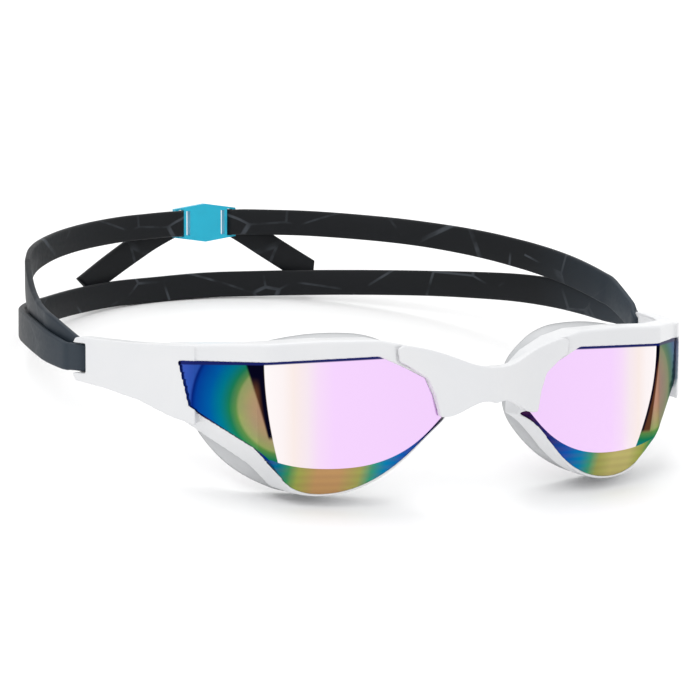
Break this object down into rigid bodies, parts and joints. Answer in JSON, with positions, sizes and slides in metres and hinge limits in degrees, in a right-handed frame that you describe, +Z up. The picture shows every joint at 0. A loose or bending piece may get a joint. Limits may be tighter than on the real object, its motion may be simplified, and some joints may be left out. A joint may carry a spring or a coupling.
{
  "type": "swim goggles",
  "caption": "Racing swim goggles with mirrored wraparound lenses in a white frame, soft eye seals, a nose bridge and a split silicone head strap with an adjuster clip.",
  "frame": {"origin": "middle of the footprint, on the surface the goggles lie on", "axes": "-Y is the way the lenses face, +X is towards the wearer's left, +Z is up with the goggles lying on the lower edges of the eye seals and of the back strap"},
  "size_m": [0.1578, 0.166, 0.0393],
  "materials": {
    "white_plastic": "satin white moulded plastic",
    "mirror_lens": "mirror coating that turns from pink to blue, green and gold",
    "clear_silicone": "milky translucent silicone",
    "strap_silicone": "matt blue-black silicone with a faint branching line pattern",
    "clip_plastic": "satin cyan plastic"
  },
  "bodies": {
    "frame": {"left_frame": "white_plastic", "right_frame": "white_plastic", "left_lens": "mirror_lens", "right_lens": "mirror_lens", "left_seal": "clear_silicone", "right_seal": "clear_silicone", "left_strap_fold": "strap_silicone", "right_strap_fold": "strap_silicone"},
    "nose_bridge": {"nose_bridge": "white_plastic"},
    "strap": {"left_upper_strand": "strap_silicone", "right_upper_strand": "strap_silicone", "lower_strand": "strap_silicone"},
    "clip": {"strap_clip": "clip_plastic", "left_strap_wrap": "strap_silicone", "right_strap_wrap": "strap_silicone", "left_strap_tail": "strap_silicone", "right_strap_tail": "strap_silicone"}
  },
  "joints": [
    {"name": "bridge_release", "type": "slide", "parent": "frame", "child": "nose_bridge", "axis": [0, -0.9707, 0.2405], "range_m": [0, 0.008]},
    {"name": "strap_swing", "type": "hinge", "parent": "frame", "child": "strap", "pos_m": [0, -0.01184, 0.02002], "axis": [1, 0, 0], "range_deg": [-20, 60], "stiffness_Nm_per_rad": 0.1},
    {"name": "clip_slide", "type": "slide", "parent": "strap", "child": "clip", "axis": [1, 0, 0], "range_m": [-0.002, 0.002]}
  ]
}
